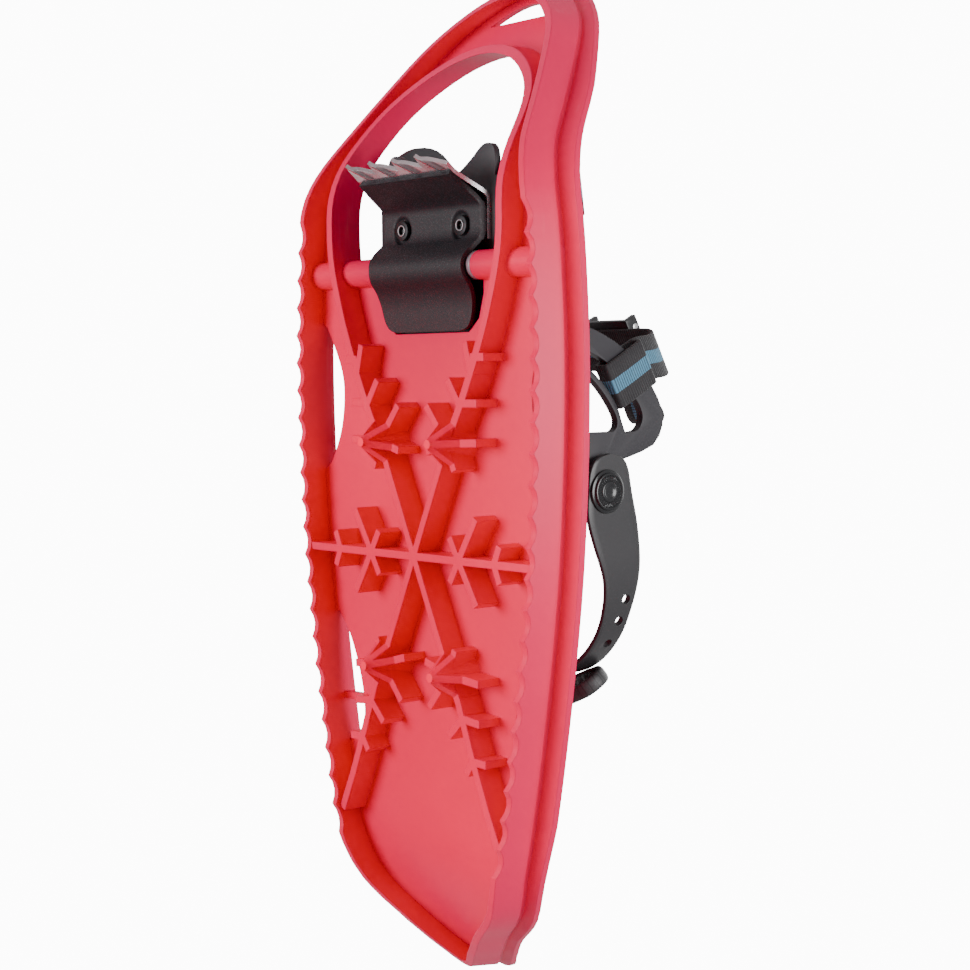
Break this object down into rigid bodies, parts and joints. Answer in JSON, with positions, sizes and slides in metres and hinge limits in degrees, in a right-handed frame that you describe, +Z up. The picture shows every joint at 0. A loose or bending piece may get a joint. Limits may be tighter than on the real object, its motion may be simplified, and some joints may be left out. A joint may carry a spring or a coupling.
{
  "type": "snowshoe",
  "caption": "Child's moulded plastic snowshoe with a ribbed and spiked underside, a toothed hinged crampon and a strap binding that pivots in the toe opening.",
  "frame": {"origin": "middle of the length and width, at the level of the spikes' tips", "axes": "+X across the deck to its left, +Y towards the toe, +Z up out of the deck's top"},
  "size_m": [0.1804, 0.432, 0.1526],
  "materials": {
    "deck": "fine moulded satin",
    "pivot_rod": "ground",
    "rod_cap": "moulded",
    "pivot_bushes": "translucent grey",
    "pivot_hub": "moulded",
    "crampon": "stamped, bare",
    "crampon_cover": "fine grained black",
    "crampon_screws": "black oxide",
    "crampon_washers": "plated",
    "clamp_plate": "plated",
    "lock_nuts": "plated",
    "cradle": "matt elastomer",
    "toe_strap": "woven webbing",
    "instep_strap": "woven webbing with a blue centre stripe",
    "buckle_frame": "moulded",
    "buckle_lever": "moulded",
    "buckle_pin": "plated",
    "pull_loop": "woven webbing with a blue centre stripe",
    "heel_strap": "matt elastomer",
    "heel_posts": "plated",
    "heel_buttons": "moulded, raised pattern",
    "heel_tab": "diamond grip pattern"
  },
  "bodies": {
    "deck_body": {"deck": "deck", "pivot_rod": "pivot_rod", "rod_cap": "rod_cap", "pivot_bushes": "pivot_bushes"},
    "binding_body": {"pivot_hub": "pivot_hub", "crampon": "crampon", "crampon_cover": "crampon_cover", "crampon_screws": "crampon_screws", "crampon_washers": "crampon_washers", "clamp_plate": "clamp_plate", "lock_nuts": "lock_nuts", "cradle": "cradle", "toe_strap": "toe_strap", "instep_strap": "instep_strap", "buckle_frame": "buckle_frame", "buckle_pin": "buckle_pin", "pull_loop": "pull_loop", "heel_posts": "heel_posts", "heel_buttons": "heel_buttons"},
    "heel_strap_body": {"heel_strap": "heel_strap", "heel_tab": "heel_tab"},
    "lever_body": {"buckle_lever": "buckle_lever"}
  },
  "joints": [
    {"name": "binding_pivot", "type": "hinge", "parent": "deck_body", "child": "binding_body", "pos_m": [0, 0.0895, 0.0201], "axis": [1, 0, 0], "range_deg": [-55, 0]},
    {"name": "heel_strap_swing", "type": "hinge", "parent": "binding_body", "child": "heel_strap_body", "pos_m": [0, -0.005, 0.078], "axis": [1, 0, 0], "range_deg": [-60, 30]},
    {"name": "buckle_lever_hinge", "type": "hinge", "parent": "binding_body", "child": "lever_body", "pos_m": [0, 0.06596, 0.12837], "axis": [1, 0, 0], "range_deg": [-60, 0], "stiffness_Nm_per_rad": 0.02, "springref_deg": 11.46}
  ]
}
